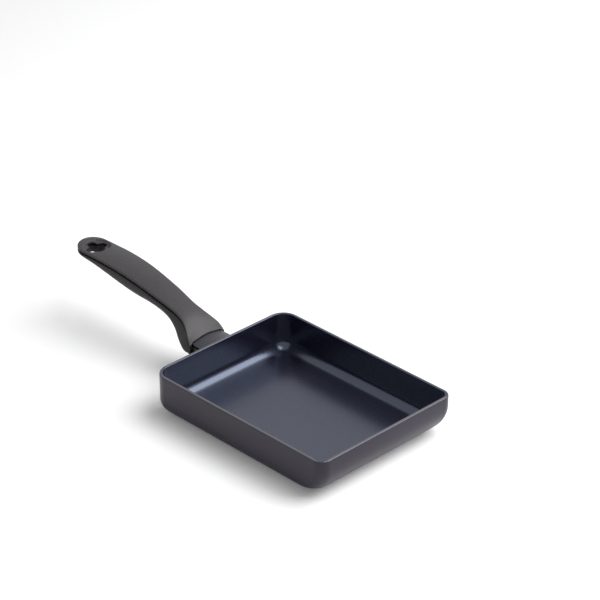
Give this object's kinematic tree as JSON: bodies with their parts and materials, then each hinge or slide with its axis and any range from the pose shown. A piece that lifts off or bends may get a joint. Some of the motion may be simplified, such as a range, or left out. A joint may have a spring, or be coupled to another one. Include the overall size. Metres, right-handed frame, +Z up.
{
  "type": "tamagoyaki pan",
  "caption": "Rectangular omelette pan with a swept far wall, a perforated plate in its foot, a covered neck and an arched two-piece grip with a hanging hole.",
  "frame": {"origin": "on the table, below the middle of the rim, on the underside of the plate in the foot", "axes": "+Z up; +X away from the handle, which lies along -X; +Y to the left, seen from the handle"},
  "size_m": [0.3685, 0.15, 0.0688],
  "materials": {
    "pan_lacquer": "satin dark grey lacquer outside, non-stick coating inside",
    "plate_steel": "brushed",
    "bracket_lacquer": "satin dark grey lacquer",
    "stud_aluminium": "bare, pressed over",
    "cover_lacquer": "satin dark grey lacquer",
    "grip_moulding": "matte moulded phenolic",
    "grip_shell": "matte, finely textured",
    "screw_steel": "zinc plated"
  },
  "bodies": {
    "root": {"pan_body": "pan_lacquer", "induction_plate": "plate_steel", "handle_bracket": "bracket_lacquer", "bracket_studs": "stud_aluminium", "neck_cover": "cover_lacquer", "grip_body": "grip_moulding", "grip_cover": "grip_shell", "handle_screw": "screw_steel", "flat_washer": "screw_steel", "lock_washer": "screw_steel"}
  },
  "joints": []
}
